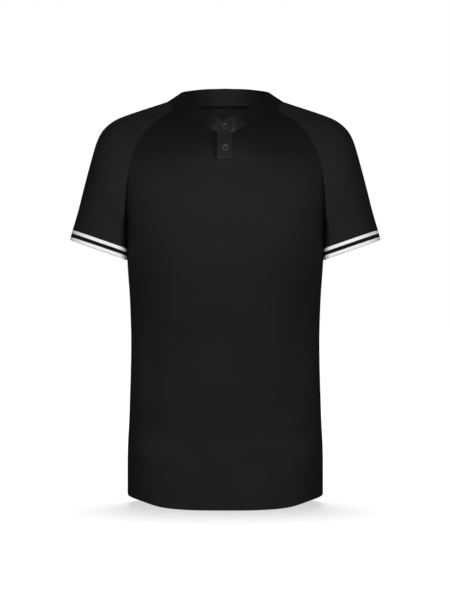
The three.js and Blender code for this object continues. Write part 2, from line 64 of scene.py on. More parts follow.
# level sections of the body: height, half width, reach to the front and to the back, squareness
BODY = np.array([
    (-5, 72, 8, 72, 2.0), (-15, 103.5, 20, 82, 2.0), (-20, 116, 27, 86, 2.0),
    (-30, 146, 41, 92, 2.0), (-40, 178, 56, 98, 2.0), (-53, 204, 73, 104, 2.0),
    (-75, 219, 90, 111, 2.05), (-111, 218, 106, 119, 2.1), (-142, 208, 113, 123, 2.2),
    (-178, 194, 117, 125, 2.3), (-212, 182, 119, 124, 2.4), (-238, 177.5, 119, 122, 2.45),
    (-301, 176, 116.5, 114, 2.45), (-373, 171.3, 111.5, 105, 2.4), (-453, 169.2, 107, 100, 2.4),
    (-571, 172, 105, 103, 2.4), (-643, 175.2, 106, 107, 2.4), (-740, 175.3, 107.5, 109.5, 2.4),
])
# raglan seams: height and half width
FRONT_RAGLAN = np.array([
    (-30, 92.5), (-37, 97), (-50, 118), (-75, 143), (-111, 162), (-142, 170), (-178, 173.5),
    (-212, 176), (-238, 177.5),
])
BACK_RAGLAN = np.array([
    (-18, 92), (-30, 106), (-50, 126), (-75, 146), (-111, 161), (-142, 168), (-178, 173),
    (-212, 176), (-238, 177.5),
])
# the neck by turn from the front middle: radius and height of the band's open edge, and height
# of the seam that sews the band on
NECK = np.array([
    (0, 88.5, -65, -85), (4.5, 87.3, -59.3, -83.3), (8, 86, -52.4, -81), (14, 84, -46.5, -76),
    (22, 82, -40.5, -69), (31, 80, -34, -61), (41, 79, -28, -53), (58, 76, -13.5, -40),
    (71, 75.5, -5, -30), (90, 79.5, 1, -15), (116, 76, 8.5, -16.5), (148, 70, 15.2, -15.5),
    (180, 66, 17.2, -15),
])
FRONT_CORNER, BACK_CORNER = 71, 116


def along_table(table, column, at):
    """One column of a table at some keys, on a smooth curve through its rows."""
    keys, values = table[:, 0], table[:, column]
    if keys[0] > keys[-1]:
        keys, values = keys[::-1], values[::-1]
    last = len(keys) - 1
    before = np.maximum(np.arange(last + 1) - 1, 0)
    after = np.minimum(np.arange(last + 1) + 1, last)
    slopes = (values[after] - values[before]) / (keys[after] - keys[before])
    i = np.clip(np.searchsorted(keys, at, side="right") - 1, 0, last - 1)
    span = keys[i + 1] - keys[i]
    s = np.clip((at - keys[i]) / span, 0, 1)
    return (
        values[i] * (2 * s**3 - 3 * s**2 + 1)
        + slopes[i] * span * (s**3 - 2 * s**2 + s)
        + values[i + 1] * (3 * s**2 - 2 * s**3)
        + slopes[i + 1] * span * (s**3 - s**2)
    )


def body_section(z):
    return [along_table(BODY, column, z) for column in (1, 2, 3, 4)]


def body_at(x, z, face):
    """Points of the body form at half widths and heights, on the front (-1) or the back (1)."""
    half, front, back, power = body_section(z)
    reach = front if face < 0 else back
    left = np.maximum(0, 1 - np.abs(x / half) ** power)
    return np.stack(np.broadcast_arrays(x, face * reach * left ** (1 / power), z), axis=-1)


def body_normal(points):
    """The outward direction of the body form at points on it."""
    def outside(p):
        half, front, back, power = body_section(p[..., 2])
        reach = np.where(p[..., 1] < 0, front, back)
        return np.abs(p[..., 0] / half) ** power + np.abs(p[..., 1] / reach) ** power
    slopes = []
    for axis in range(3):
        step = np.zeros(3)
        step[axis] = 0.5
        slopes.append(outside(points + step) - outside(points - step))
    return unit(np.stack(slopes, axis=-1))


def unit(v):
    return v / np.maximum(np.linalg.norm(v, axis=-1, keepdims=True), 1e-9)


def neck_seam(turn):
    """Points of the seam that sews the neck band on, by turn in degrees."""
    z = along_table(NECK, 3, np.abs(turn))
    half, front, back, power = body_section(z)
    angle = np.radians(turn)
    reach = np.where(np.cos(angle) > 0, front, back)
    radius = (np.abs(np.sin(angle) / half) ** power + np.abs(np.cos(angle) / reach) ** power) ** (-1 / power)
    return np.stack([radius * np.sin(angle), -radius * np.cos(angle), z], axis=-1)


def neck_edge(turn):
    """Points of the open edge of the neck band, by turn in degrees."""
    radius = along_table(NECK, 1, np.abs(turn))
    angle = np.radians(turn)
    z = along_table(NECK, 2, np.abs(turn))
    return np.stack([radius * np.sin(angle), -radius * np.cos(angle), z], axis=-1)


def run(line):
    """The distance along a line at each of its points."""
    return np.concatenate([[0], np.cumsum(np.linalg.norm(np.diff(line, axis=0), axis=1))])


def spaced(line, shares):
    """Points of a finely drawn line at shares of its length."""
    length = run(line)
    at = np.asarray(shares) * length[-1]
    return np.stack([np.interp(at, length, line[:, a]) for a in range(3)], axis=-1)


def edged(steps, first=0.35, rows=2):
    """Shares from 0 to 1 in even steps, with a few closer ones at both ends for the rolled edge."""
    inner = np.linspace(0, 1, steps + 1)
    close = inner[1] * first ** np.arange(rows, 0, -1)
    return np.concatenate([[0], close, inner[1:-1], 1 - close[::-1], [1]])


FINE = np.linspace(0, 1, 401)


def raglan_seam(face):
    """The raglan seam on the wearer's left as a fine line from the neck band to the underarm."""
    corner = neck_seam(np.array(FRONT_CORNER if face < 0 else BACK_CORNER))
    rows = FRONT_RAGLAN if face < 0 else BACK_RAGLAN
    z = corner[2] + (UNDERARM_Z - corner[2]) * FINE
    line = body_at(along_table(rows, 1, z), z, face)
    line[0] = corner
    line[-1] = (body_section(UNDERARM_Z)[0], 0, UNDERARM_Z)
    return line


def body_panel(face, columns, body_rows, raglan_rows):
    """The grid of a body panel, row by row from the hem to the neck band."""
    grid = []
    for rise in edged(body_rows)[:-3]:
        angle = np.pi * (FINE - 0.5)
        share = np.abs(np.sin(angle))
        hem = HEM_Z + HEM_RISE * share**HEM_POWER
        corner = CORNER_RISE * np.exp(-(((share - CORNER_AT) / CORNER_WIDTH) ** 2))
        z = hem + (UNDERARM_Z - hem) * rise + corner * (1 - rise) ** CORNER_FADE
        half, front, back, power = body_section(z)
        reach = front if face < 0 else back
        x = half * np.sign(angle) * share ** (2 / power)
        y = face * (reach * np.maximum(0, np.cos(angle)) ** (2 / power) - SEAM_OVERLAP * (share == 1))
        grid.append(columns(np.stack([x, y, z], axis=-1)))
    seam = raglan_seam(face)
    corner = seam[0]
    across = 2 * FINE - 1
    middle, corner_turn = (0, FRONT_CORNER) if face < 0 else (180, BACK_CORNER)
    turn = (middle + (corner_turn - middle) * np.abs(across)) * np.where(across < 0, -1, 1)
    top = neck_seam(turn)
    for rise in edged(raglan_rows)[3:]:
        if rise == 1:
            grid.append(columns(top))
            continue
        edge = spaced(seam, [1 - rise])[0]
        z = edge[2] + rise**NECK_DIP_POWER * (top[:, 2] - corner[2])
        x = np.sign(across) * np.abs(top[:, 0]) / corner[0] * edge[0]
        line = body_at(x, z, face)
        line[0], line[-1] = edge * (-1, 1, 1), edge
        grid.append(columns(line))
    return np.array(grid)


def crease(grid, points, width, depth, ends=0.25):
    """How far a soft trough (or ridge, with a negative depth) along a line sinks each point."""
    at = grid[..., [0, 2]]
    line = np.array(points, float)
    best = np.full(at.shape[:-1], 1e9)
    share = np.zeros(at.shape[:-1])
    total = np.sum(np.linalg.norm(np.diff(line, axis=0), axis=1))
    done = 0.0
    for a, b in zip(line[:-1], line[1:]):
        along = b - a
        length = np.linalg.norm(along)
        s = np.clip(((at - a) @ along) / length**2, 0, 1)
        gap = np.linalg.norm(at - (a + s[..., None] * along), axis=-1)
        closer = gap < best
        best = np.where(closer, gap, best)
        share = np.where(closer, (done + s * length) / total, share)
        done += length
    fade = np.clip(np.minimum(share, 1 - share) / ends, 0, 1)
    fade = fade**2 * (3 - 2 * fade)
    return depth * fade * np.exp(-((best / width) ** 2))


def pulled_in(share):
    """How far the thread of a raglan seam pulls the cloth in, from its neck end to the underarm."""
    return np.interp(share, [0, 0.1, 0.2, 0.42, 0.7, 1], [0, 3.6, 4.6, 3.0, 0.6, 0])


def beside_seam(points, seam, width):
    """How far points beside a raglan seam are pulled in with it."""
    samples = spaced(seam, np.linspace(0, 1, 81))
    gap = np.linalg.norm(points[..., None, :] - samples, axis=-1)
    return pulled_in(np.argmin(gap, axis=-1) / 80) * np.exp(-((np.min(gap, axis=-1) / width) ** 2))


def forward(points):
    """How far the cloth round the neck opening stands forward of the form."""
    rise = np.clip((points[..., 2] - FORWARD_FROM_Z) / FORWARD_OVER, 0, 1)
    beside = np.exp(-((points[..., 0] / NECK_FORWARD_WIDTH) ** 2))
    return NECK_FORWARD * beside * rise**2 * (3 - 2 * rise) * (points[..., 1] < 0)


def grid_normals(grid, wrap=False):
    """The outward direction at each point of a grid, from its neighbours."""
    up = np.gradient(grid, axis=0)
    if wrap:
        across = np.roll(grid, -1, axis=1) - np.roll(grid, 1, axis=1)
    else:
        across = np.gradient(grid, axis=1)
    return unit(np.cross(across, up))


def grid_uv(grid, wrap=False):
    """Flat places in metres of a grid's points: round the piece and up it."""
    middle = grid.shape[1] // 2
    step = np.linalg.norm(np.diff(grid, axis=1), axis=2)
    u = np.concatenate([np.zeros((len(grid), 1)), np.cumsum(step, axis=1)], axis=1)
    u = u - u[:, middle : middle + 1]
    rise = np.linalg.norm(np.diff(grid, axis=0), axis=2)
    v = np.concatenate([np.zeros((1, grid.shape[1])), np.cumsum(rise, axis=0)])
    return np.stack([u, v], axis=-1) / 1000


def panel_uv(grid):
    """Flat places of a body panel, measured up and down from the waist, where its courses lie level."""
    places = grid_uv(grid)
    places[..., 1] -= places[len(grid) // 3, :, 1]
    return places


RIM_ANGLES = np.radians([60, 20, -20, -60])
RIM_BULGE = 0.4  # how round the rim is: 1 is a half circle


def cloth_wall(name, outer, inner, uv, materials, keep=None, wrap=False):
    """A cloth piece as one closed mesh: an outer and an inner face and a rolled rim at each edge."""
    rows, columns = outer.shape[:2]
    faces_across = columns if wrap else columns - 1
    keep = np.ones((rows - 1, faces_across), bool) if keep is None else keep
    index = np.arange(rows * columns).reshape(rows, columns)
    k, j = np.nonzero(keep)
    j2 = (j + 1) % columns
    a, b, c, d = index[k, j], index[k, j2], index[k + 1, j2], index[k + 1, j]
    count = rows * columns
    points = [outer.reshape(-1, 3), inner.reshape(-1, 3)]
    faces = [np.stack([a, b, c, d], axis=1), np.stack([a, d, c, b], axis=1) + count]
    # the rim follows every edge that has a face on one side only
    edges = np.concatenate([np.stack(p, axis=1) for p in ((a, b), (b, c), (c, d), (d, a))])
    both = {tuple(e) for e in edges.tolist()}
    rim = [e for e in both if (e[1], e[0]) not in both]
    out, flat_inner = points[0], points[1]
    away = np.zeros_like(out)
    facing = unit(out - flat_inner)
    for p, q in rim:
        side = np.cross(out[q] - out[p], facing[p])
        side /= max(np.linalg.norm(side), 1e-9)
        away[p] += side
        away[q] += side
    away = unit(away)
    on_rim = np.unique(np.array(rim))
    place = -np.ones(count, int)
    place[on_rim] = np.arange(len(on_rim))
    middle = (out[on_rim] + flat_inner[on_rim]) / 2
    half = np.linalg.norm(out[on_rim] - flat_inner[on_rim], axis=1, keepdims=True) / 2
    pulled = away[on_rim] * half * RIM_BULGE
    points[0] = out.copy()
    points[0][on_rim] -= pulled
    points[1] = flat_inner.copy()
    points[1][on_rim] -= pulled
    loops = [on_rim]
    start = 2 * count
    for angle in RIM_ANGLES:
        points.append(middle - pulled + half * math.sin(angle) * facing[on_rim] + math.cos(angle) * pulled)
        loops.append(start + np.arange(len(on_rim)))
        start += len(on_rim)
    loops.append(on_rim + count)
    rim = np.array(rim)
    p, q = place[rim[:, 0]], place[rim[:, 1]]
    for upper, lower in zip(loops[:-1], loops[1:]):
        faces.append(np.stack([upper[q], upper[p], lower[p], lower[q]], axis=1))
    flat = uv.reshape(-1, 2)
    places = [flat, flat] + [flat[on_rim]] * len(RIM_ANGLES)
    inside = np.concatenate([np.full(len(part), i == 1) for i, part in enumerate(faces)])
    piece = new_mesh(
        name, np.concatenate(points) / 1000, np.concatenate(faces), np.concatenate(places), wrap, inside,
    )
    for material in materials:
        piece.data.materials.append(material)
    return piece


def new_mesh(name, points, faces, places, wrap=False, inside=None):
    """A smooth mesh object from points, faces and flat places, with unused points left out."""
    used = np.unique(faces)
    new = -np.ones(len(points), int)
    new[used] = np.arange(len(used))
    faces = new[faces]
    mesh = bpy.data.meshes.new(name)
    mesh.from_pydata(points[used].tolist(), [], faces.tolist())
    if inside is not None:
        mesh.polygons.foreach_set("material_index", inside.astype(int))
    loop_points = faces.reshape(-1)
    loop_uv = places[used][loop_points].reshape(-1, faces.shape[1], 2).copy()
    if wrap:  # a face over the join takes the far places a whole turn on
        turn = places[:, 0].max() - places[:, 0].min() + 0.003
        wide = loop_uv[..., 0].max(axis=1) - loop_uv[..., 0].min(axis=1) > turn / 2
        low = loop_uv[..., 0] < (places[:, 0].max() + places[:, 0].min()) / 2
        loop_uv[..., 0] += np.where(wide[:, None] & low, turn, 0)
    layer = mesh.uv_layers.new(name="cut")
    layer.data.foreach_set("uv", loop_uv.reshape(-1))
    mesh.polygons.foreach_set("use_smooth", [True] * len(mesh.polygons))
    mesh.update()
    piece = bpy.data.objects.new(name, mesh)
    bpy.context.scene.collection.objects.link(piece)
    return piece


def stitches(line, normals, pitch=2.8, length=2.1, radius=0.2, lift=0.1):
    """Thread that shows as a row of short stitches along a line: points, faces and flat places."""
    total = run(line)[-1]
    count = max(2, int(total / pitch))
    centre = (np.arange(count) + 0.5) / count
    half = length / 2 / total
    middle = spaced(line, centre)
    along = unit(spaced(line, np.minimum(centre + half, 1)) - spaced(line, np.maximum(centre - half, 0)))
    lengths = run(line)
    facing = unit(np.stack([np.interp(centre * total, lengths, normals[:, a]) for a in range(3)], axis=-1))
    side = unit(np.cross(along, facing))
    rings = []
    for place, width, up in ((-1, 0.35, -0.25), (-0.55, 1, 0), (0.55, 1, 0), (1, 0.35, -0.25)):
        core = middle + along * place * length / 2 + facing * (lift + up * 2 * radius)
        for turn in range(4):
            angle = math.radians(45 + 90 * turn)
            rings.append(core + width * radius * (math.cos(angle) * side + math.sin(angle) * facing))
    points = np.stack(rings, axis=1)
    quads = []
    for ring in range(3):
        for turn in range(4):
            a, b = 4 * ring + turn, 4 * ring + (turn + 1) % 4
            quads.append((a, b, b + 4, a + 4))
    quads += [(0, 3, 2, 1), (12, 13, 14, 15)]
    quads = np.array(quads)[None] + 16 * np.arange(count)[:, None, None]
    return points.reshape(-1, 3), quads.reshape(-1, 4)


def sewn(piece, rows, thread):
    """Adds rows of stitches to a piece, in one more material."""
    points, faces, start = [], [], 0
    for row_points, row_faces in rows:
        points.append(row_points)
        faces.append(row_faces + start)
        start += len(row_points)
    sewing = new_mesh(
        piece.name + "_thread", np.concatenate(points) / 1000, np.concatenate(faces), np.zeros((start, 2)),
    )
    sewing.data.materials.append(thread)
    bpy.ops.object.select_all(action="DESELECT")
    sewing.select_set(True)
    piece.select_set(True)
    bpy.context.view_layer.objects.active = piece
    bpy.ops.object.join()
    bpy.ops.object.select_all(action="DESELECT")


def linear(code):
    """An sRGB hex colour as the linear values that the shaders take."""
    parts = [int(code[i : i + 2], 16) / 255 for i in (1, 3, 5)]
    return [c / 12.92 if c <= 0.04045 else ((c + 0.055) / 1.055) ** 2.4 for c in parts] + [1.0]


def add_node(tree, kind, settings=None, **links):
    """One node with its settings, and its inputs by name, or by number after an i: a value or an output."""
    node = tree.nodes.new(kind)
    for key, value in (settings or {}).items():
        setattr(node, key, value)
    for key, value in links.items():
        numbered = key[0] == "i" and key[1:].isdigit()
        socket = node.inputs[int(key[1:]) if numbered else key.replace("_", " ")]
        if isinstance(value, bpy.types.NodeSocket):
            tree.links.new(value, socket)
        else:
            socket.default_value = value
    return node


def bare_material(name):
    """A new material and its node tree, emptied."""
    material = bpy.data.materials.new(name)
    material.use_nodes = True
    material.node_tree.nodes.clear()
    return material, material.node_tree


WALE, COURSE = 0.95, 0.8  # the width of a knitted stitch and its height
LOOP_SLANT, LOOP_SHARE = 0.8, 0.4  # how far a stitch leans, and how much it stands out beside its wale


def interlock_knit(name, dark, light, roughness=0.69, drawn_out=0.8, gloss=0.12):
    """Black polyester interlock: filament yarn knitted in fine upright wales, dyed through, heat set
    and smooth. It gives the eye a deep, nearly even black with a soft dull glow on what faces the
    light, drawn out across the wales, which falls away quickly above and below."""
    material, tree = bare_material(name)
    cut = add_node(tree, "ShaderNodeUVMap", {"uv_map": "cut"})
    apart = add_node(tree, "ShaderNodeSeparateXYZ", Vector=cut.outputs[0])
    across = add_node(tree, "ShaderNodeMath", {"operation": "DIVIDE"}, i0=apart.outputs[0], i1=WALE / 1000)
    leg = add_node(tree, "ShaderNodeMath", {"operation": "PINGPONG"}, i0=across.outputs[0], i1=0.5)
    up = add_node(tree, "ShaderNodeMath", {"operation": "DIVIDE"}, i0=apart.outputs[1], i1=COURSE / 1000)
    times, times_plus = {"operation": "MULTIPLY"}, {"operation": "MULTIPLY_ADD"}
    slant = add_node(tree, "ShaderNodeMath", times_plus, i0=leg.outputs[0], i1=LOOP_SLANT, i2=up.outputs[0])
    phase = add_node(tree, "ShaderNodeMath", times, i0=slant.outputs[0], i1=2 * math.pi)
    loop = add_node(tree, "ShaderNodeMath", {"operation": "SINE"}, i0=phase.outputs[0])
    rib_angle = add_node(tree, "ShaderNodeMath", times, i0=leg.outputs[0], i1=2 * math.pi)
    rib = add_node(tree, "ShaderNodeMath", {"operation": "SINE"}, i0=rib_angle.outputs[0])
    height = add_node(
        tree, "ShaderNodeMath", times_plus, i0=loop.outputs[0], i1=LOOP_SHARE, i2=rib.outputs[0],
    )
    place = add_node(tree, "ShaderNodeTexCoord")
    cloudy = add_node(tree, "ShaderNodeTexNoise", Vector=place.outputs["Object"], Scale=22.0, Detail=3.0)
    shade = add_node(
        tree, "ShaderNodeMix", {"data_type": "RGBA"}, i0=cloudy.outputs[0],
        i6=linear(dark), i7=linear(light),
    )
    bump = add_node(tree, "ShaderNodeBump", Strength=0.25, Distance=0.00012, Height=height.outputs[0])
    tangent = add_node(tree, "ShaderNodeTangent", {"direction_type": "UV_MAP", "uv_map": "cut"})
    shader = add_node(
        tree, "ShaderNodeBsdfPrincipled", Base_Color=shade.outputs[2], Roughness=roughness, IOR=1.5,
        Specular_IOR_Level=gloss, Anisotropic=drawn_out, Normal=bump.outputs[0], Tangent=tangent.outputs[0],
    )
    add_node(tree, "ShaderNodeOutputMaterial", Surface=shader.outputs[0])
    return material


body_knit = interlock_knit(
    "black_interlock_knit", "#111211", "#141414", roughness=0.65, drawn_out=0.71, gloss=0.11,
)
# the inside of the same knit, a little duller, and painted lighter than the outside: painted light for the
# shaded inside of the neck and body
knit_reverse_painted_lighter = interlock_knit("black_interlock_knit_reverse", "#1f201f", "#252625")

# polyester sewing thread, dyed black: a little shinier than the knit
thread_black, tree = bare_material("black_polyester_thread")
shader = add_node(
    tree, "ShaderNodeBsdfPrincipled", Base_Color=linear("#0f1110"), Roughness=0.6, Specular_IOR_Level=0.2,
)
add_node(tree, "ShaderNodeOutputMaterial", Surface=shader.outputs[0])

# Columns stand at fixed places near the placket, so that the slit has straight edges, and
# share the rest of each row evenly.
NEAR = np.array([-40, -37, -34, -31, -28, -25.5, -23.5, -22, -20.7, -19.4, -18.2, -17, -15.8, -14.6, -13.4,
                 -11, -8, -5, -2, 1, 4, 7, 9, 10.7, 12, 14, 16, 18, 21, 24, 27, 30, 33, 36, 40.0])


def front_columns(line):
    """Points of a front row at its columns."""
    order = line[:, 0]
    inside = np.interp(NEAR, order, np.arange(len(line)))
    outwards = edged(44)[:-3]
    length = run(line)
    at = np.interp(inside, np.arange(len(line)), length)
    left = at[0] * outwards
    right = length[-1] - left[::-1]
    stops = np.concatenate([left, at, right])
    return np.stack([np.interp(stops, length, line[:, a]) for a in range(3)], axis=-1)


front_grid = body_panel(-1, front_columns, 118, 62)
front_normals = body_normal(front_grid)
# the cloth dips under the left edge of the placket
PLACKET_DIP = ([(-15.2, -66), (-16.6, -98), (-15.2, -128)], 4.6, 5.0, 0.24)
front_sink = (
    crease(front_grid, *PLACKET_DIP)
    + crease(front_grid, [(64, -58), (69, -55), (74, -52)], 3, 1.2)
    + beside_seam(front_grid, raglan_seam(-1), SEAM_PULL_ON_BODY)
    + beside_seam(front_grid, raglan_seam(-1) * (-1, 1, 1), SEAM_PULL_ON_BODY)
    + crease(front_grid, [(-168, -262), (-140, -292), (-98, -318)], 21, 0.8)
    + crease(front_grid, [(166, -268), (136, -306), (104, -322)], 19, 0.7)
    + crease(front_grid, [(-66, -395), (-78, -520), (-70, -690)], 24, 1.5)
    + crease(front_grid, [(38, -430), (54, -560), (46, -720)], 26, 1.6)
    + crease(front_grid, [(112, -360), (118, -470), (108, -610)], 20, 1.4)
    + crease(front_grid, [(-126, -420), (-122, -540), (-130, -660)], 18, 1.2)
    + crease(front_grid, [(-14, -250), (-6, -330), (-16, -420)], 30, -0.9)
)
# the sides of the waist round away faster than the form, and the corners of the hem are fuller;
# the side seams themselves stay where the back panel holds them
HEM_FLARE, FLARE_FROM_Z, FLARE_OVER = 5.5, -600, 140  # the hem stands forward of the form
SIDE_HOLD = 36  # how far round from the side seam the cloth is still held by it
from_side = np.clip(-front_grid[..., 1] / SIDE_HOLD, 0, 1)
from_side = from_side**2 * (3 - 2 * from_side)
front_back = from_side * (
    crease(front_grid, [(-138, -250), (-138, -590)], 36, 7.0, ends=0.5)
    + crease(front_grid, [(138, -250), (138, -590)], 36, 7.0, ends=0.5)
    + crease(front_grid, [(-142, -600), (-142, -800)], 38, -5.0)
    + crease(front_grid, [(142, -600), (142, -800)], 38, -5.0)
    - forward(front_grid)
    - HEM_FLARE * np.clip((FLARE_FROM_Z - front_grid[..., 2]) / FLARE_OVER, 0, 1) ** 1.5
)
front_outer = front_grid - front_normals * front_sink[..., None]
front_outer[..., 1] += front_back
front_keep = np.ones((front_grid.shape[0] - 1, front_grid.shape[1] - 1), bool)
mid_x = (front_grid[:-1, :-1, 0] + front_grid[1:, 1:, 0]) / 2
mid_z = (front_grid[:-1, :-1, 2] + front_grid[1:, 1:, 2]) / 2
front_keep[(mid_x > SLIT_LEFT) & (mid_x < SLIT_RIGHT) & (mid_z > SLIT_BOTTOM)] = False
front_panel = cloth_wall(
    "front_body", front_outer, front_outer - front_normals * CLOTH, panel_uv(front_grid),
    [body_knit, knit_reverse_painted_lighter], keep=front_keep,
)


HEM_STITCH_HEIGHTS = (5.8, 8.2)
HEM_GRID_ROWS = 12  # enough rows of a panel to reach past the stitches


def hem_rows(grid, normals):
    """Two rows of stitches round the hem, at heights above its edge."""
    made = []
    near = grid[:HEM_GRID_ROWS]
    height = np.linalg.norm(near - grid[:1], axis=2)
    for lift in HEM_STITCH_HEIGHTS:
        line = np.array([
            [np.interp(lift, height[:, j], near[:, j, a]) for a in range(3)] for j in range(grid.shape[1])
        ])
        made.append(stitches(line[2:-2], normals[HEM_GRID_ROWS // 2, 2:-2]))
    return made


sewn(front_panel, hem_rows(front_outer, front_normals), thread_black)
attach(front_panel, "root")
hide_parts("front_panel")

# Back panel: the back of the body in the same knit, cut in one piece like the front but without a
# slit, and hung from the same raglan seams and neck band.


def back_columns(line):
    """Points of a back row at its columns."""
    return spaced(line, edged(116))


back_grid = body_panel(1, back_columns, 100, 56)
back_normals = body_normal(back_grid)
back_sink = (
    crease(back_grid, [(-64, -176), (-34, -240), (-40, -330)], 26, 1.3)
    + crease(back_grid, [(52, -190), (30, -262), (42, -352)], 24, 1.1)
    + crease(back_grid, [(-72, -410), (-84, -540), (-72, -700)], 26, 1.6)
    + crease(back_grid, [(26, -420), (44, -570), (36, -720)], 28, 1.5)
    + crease(back_grid, [(110, -370), (116, -480), (106, -620)], 20, 1.4)
    + crease(back_grid, [(-126, -440), (-120, -560), (-128, -670)], 18, 1.1)
    + crease(back_grid, [(-165, -264), (-138, -298), (-94, -324)], 21, 0.9)
    + crease(back_grid, [(166, -270), (140, -302), (102, -330)], 19, 0.7)
    + crease(back_grid, [(-4, -200), (6, -300), (-6, -400)], 34, -1.0)
)
back_grid = back_grid - back_normals * back_sink[..., None]
back_grid, back_normals = back_grid[:, ::-1], back_normals[:, ::-1]
back_panel = cloth_wall(
    "back_body", back_grid, back_grid - back_normals * CLOTH, panel_uv(back_grid), [body_knit, knit_reverse_painted_lighter],
)
sewn(back_panel, hem_rows(back_grid, back_normals), thread_black)
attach(back_panel, "root")
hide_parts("back_panel")

# Sleeves: one piece each in the same knit, cut with a blunt end that reaches the neck band between
# front and back, sewn into the raglan seams and closed by a seam under the arm.
SLEEVE_SHIFT = 0.4
CUFF_CLEAR_OF_BODY = 2.5
SLEEVE_POWER, FLATTER_IN_FRONT = 2.15, 3.2
TOUCH_DEPTH, TOUCH_FADE = 66, 22  # how far back the sleeve lies against the body
# sections: outer point and inner point in the front view, reach to the front and to the back
SLEEVE = np.array([
    (178, -40, 178, -240, 71, 80), (202, -51, 178, -241.5, 71, 80), (220, -67, 178, -243.5, 70, 80),
    (230, -85, 178, -246, 69, 79), (236.5, -105, 178, -249, 68, 78), (246, -139, 178, -255, 65, 76),
    (255.5, -175, 178, -261, 62, 74), (264.6, -211, 177.5, -269, 59, 72), (275, -246, 177, -280, 56, 70),
    (280, -264, 176.6, -300, 55, 69),
])


def half_width_at(y, z):
    """Half width of the body form at depths and heights."""
    half, front, back, power = body_section(z)
    reach = np.where(y < 0, front, back)
    return half * np.maximum(0, 1 - np.abs(y / reach) ** power) ** (1 / power)


def clear_of_body(points):
    """Moves points of the sleeve outwards until they are clear of the side of the body."""
    below = np.clip((UNDERARM_Z - points[:, 2]) / (UNDERARM_Z - SLEEVE[-1, 3]), 0, 1)
    nearest = half_width_at(points[:, 1], points[:, 2])
    nearest += SLEEVE_SHIFT + (CUFF_CLEAR_OF_BODY - SLEEVE_SHIFT) * below
    low = points[:, 2] < UNDERARM_Z
    points[low, 0] = np.maximum(points[low, 0], nearest[low])
    # behind the side of the body the cloth lies against it
    away = points[:, 0] - nearest
    behind = np.clip(points[:, 1] / TOUCH_FADE, 0, 1)
    behind *= np.clip((TOUCH_DEPTH - points[:, 1]) / TOUCH_FADE, 0, 1)
    points[:, 0] -= np.where(low, away * np.clip(1.6 - away / TOUCH_FADE, 0, 1) * behind, 0)
    return points


def sleeve_arc(row, face, shares):
    """Half a sleeve section at shares of its length, from the outside to the inside."""
    outer, inner = np.array([row[0], 0, row[1]]), np.array([row[2], 0, row[3]])
    middle, arm = (outer + inner) / 2, (outer - inner) / 2
    angle = np.pi * FINE
    # in front the sleeve lies flatter towards the body than it does outside
    power = SLEEVE_POWER + FLATTER_IN_FRONT * np.clip(-np.cos(angle) * 1.6, 0, 1) * (face < 0)
    def rounded(value):
        return np.sign(value) * np.abs(value) ** (2 / power)
    line = middle + arm * rounded(np.cos(angle))[:, None]
    line[:, 1] = (row[5] - row[4]) / 2 + face * (row[5] + row[4]) / 2 * rounded(np.maximum(0, np.sin(angle)))
    return clear_of_body(spaced(line, shares))


def bend_through(points, shares):
    """Smooth lines through rows of points (rows, lines, 3), at shares of each line's length."""
    p = np.concatenate([2 * points[:1] - points[1:2], points, 2 * points[-1:] - points[-2:-1]])
    t = np.linspace(0, 1, 25)[:-1, None, None]
    pieces = []
    for i in range(len(points) - 1):
        p0, p1, p2, p3 = p[i : i + 4]
        pairs = ((p0, p1), (p1, p2), (p2, p3))
        d0, d1, d2 = (np.sqrt(np.linalg.norm(b - a, axis=1))[:, None] for a, b in pairs)
        m1 = ((p1 - p0) / d0 - (p2 - p0) / (d0 + d1) + (p2 - p1) / d1) * d1
        m2 = ((p2 - p1) / d1 - (p3 - p1) / (d1 + d2) + (p3 - p2) / d2) * d1
        pieces.append(p1 + m1 * t + (3 * (p2 - p1) - 2 * m1 - m2) * t**2 + (2 * (p1 - p2) + m1 + m2) * t**3)
    lines = np.concatenate(pieces + [points[-1:]])
    return np.stack([spaced(lines[:, i], shares) for i in range(lines.shape[1])], axis=1)


BLUNT_STEPS, RAGLAN_STEPS = 10, 66


def armhole(face):
    """Half of the left armhole seam, from the shoulder ridge round the blunt end to the underarm."""
    corner = FRONT_CORNER if face < 0 else BACK_CORNER
    blunt = neck_seam(90 + (corner - 90) * np.linspace(0, 1, BLUNT_STEPS + 1))
    return np.concatenate([blunt[:-1], spaced(raglan_seam(face), np.linspace(0, 1, RAGLAN_STEPS + 1))])


front_hole, back_hole = armhole(-1), armhole(1)
hole = np.concatenate([front_hole, back_hole[-2:0:-1]])
front_shares, back_shares = (run(half) / run(half)[-1] for half in (front_hole, back_hole))


def sleeve_ring(row):
    """The points of a sleeve section that stand across from the points of the armhole seam."""
    return np.concatenate([sleeve_arc(row, -1, front_shares), sleeve_arc(row, 1, back_shares)[-2:0:-1]])


sleeve_rings = np.array([sleeve_ring(row) for row in SLEEVE[:-1]])
sleeve_grid = bend_through(np.concatenate([(hole - (SEAM_OVERLAP, 0, 0))[None], sleeve_rings]), edged(56))
front_share = np.clip((np.arange(len(hole)) - BLUNT_STEPS) / RAGLAN_STEPS, 0, 1)
seam_depth = np.where(np.arange(len(hole)) < len(front_hole), pulled_in(front_share), 0)
from_seam = np.cumsum(np.linalg.norm(np.diff(sleeve_grid, axis=0, prepend=sleeve_grid[:1]), axis=2), axis=0)
seam_sink = seam_depth * np.exp(-((from_seam / SEAM_PULL_ON_SLEEVE) ** 2))
sleeve_grid = sleeve_grid - body_normal(hole) * seam_sink[..., None]
# behind the arm the cloth has two faint creases that fan out from the underarm
sleeve_sink = crease(sleeve_grid, [(184, -236), (206, -206), (232, -190)], 11, 1.3)
sleeve_sink += crease(sleeve_grid, [(182, -214), (196, -176), (208, -140)], 12, 1.0)
sleeve_sink *= np.clip(sleeve_grid[..., 1] / 30, 0, 1)
sleeve_grid = sleeve_grid - grid_normals(sleeve_grid, wrap=True) * sleeve_sink[..., None]
sleeve_normals = grid_normals(sleeve_grid, wrap=True)
sleeve_normals[0] = unit(body_normal(hole) + sleeve_normals[0])
